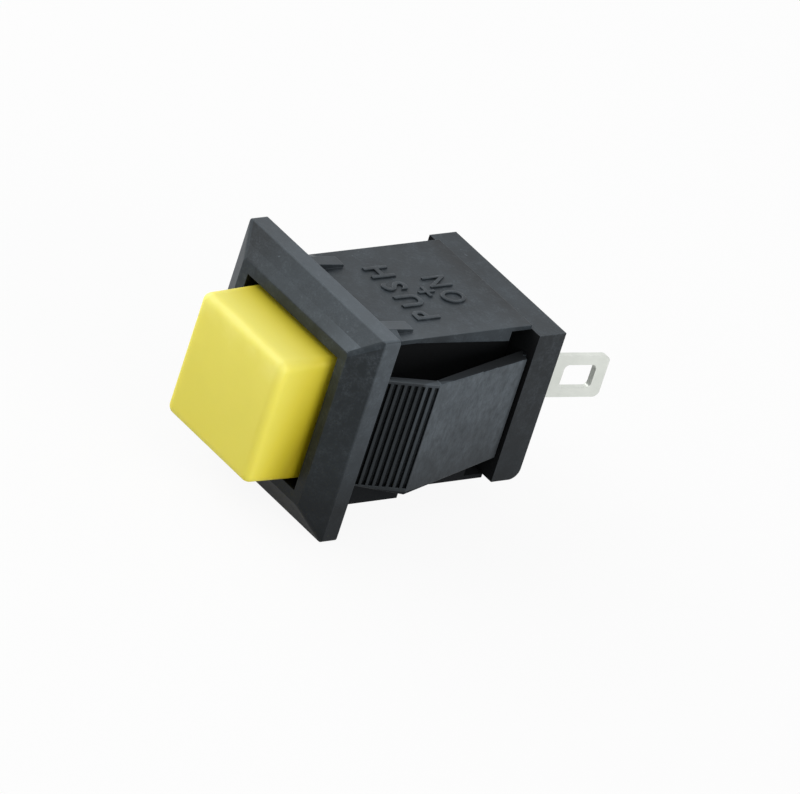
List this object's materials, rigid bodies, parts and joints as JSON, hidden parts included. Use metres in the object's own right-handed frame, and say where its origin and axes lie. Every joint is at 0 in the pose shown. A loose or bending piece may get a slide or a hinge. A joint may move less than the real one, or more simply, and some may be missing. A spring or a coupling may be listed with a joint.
{
  "type": "push-button switch",
  "caption": "Square momentary push-button switch that snaps into a panel, with a coloured cap, ridged snap wings and solder lugs at the rear.",
  "frame": {"origin": "centre of the bezel's back plane, which seats on the panel's front face", "axes": "+Y into the panel, along the body to the terminals; +Z towards the lettered face; +X to the right seen from the button's side"},
  "size_m": [0.0152, 0.0269, 0.0148],
  "materials": {
    "housing": "fine-textured black nylon moulding",
    "button_cap": "satin yellow moulding",
    "plunger": "natural nylon",
    "retaining_washer": "plain spring steel",
    "return_spring": "drawn spring wire",
    "contact_spring": "drawn spring wire",
    "contact_bridge": "rolled brass strip",
    "contacts": "silver rivet",
    "terminals": "dull tin-plated brass sheet",
    "base_plate": "black nylon moulding"
  },
  "bodies": {
    "switch_body": {"housing": "housing", "base_plate": "base_plate", "terminal_left": "terminals", "terminal_right": "terminals", "fixed_contact_left": "contacts", "fixed_contact_right": "contacts", "return_spring": "return_spring"},
    "button": {"button_cap": "button_cap", "plunger": "plunger", "retaining_washer": "retaining_washer", "contact_spring": "contact_spring"},
    "bridge": {"contact_bridge": "contact_bridge", "bridge_contact_left": "contacts", "bridge_contact_right": "contacts"}
  },
  "joints": [
    {"name": "button_press", "type": "slide", "parent": "switch_body", "child": "button", "axis": [0, 1, 0], "range_m": [0, 0.002], "stiffness_N_per_m": 900, "springref_m": -0.0012, "deforming": ["return_spring"]},
    {"name": "bridge_follow", "type": "slide", "parent": "button", "child": "bridge", "axis": [0, 1, 0], "range_m": [-0.0008, 0], "deforming": ["contact_spring"]}
  ],
  "couplings": [
    {"joint": "bridge_follow", "follows": "button_press", "ratio": -0.4}
  ]
}
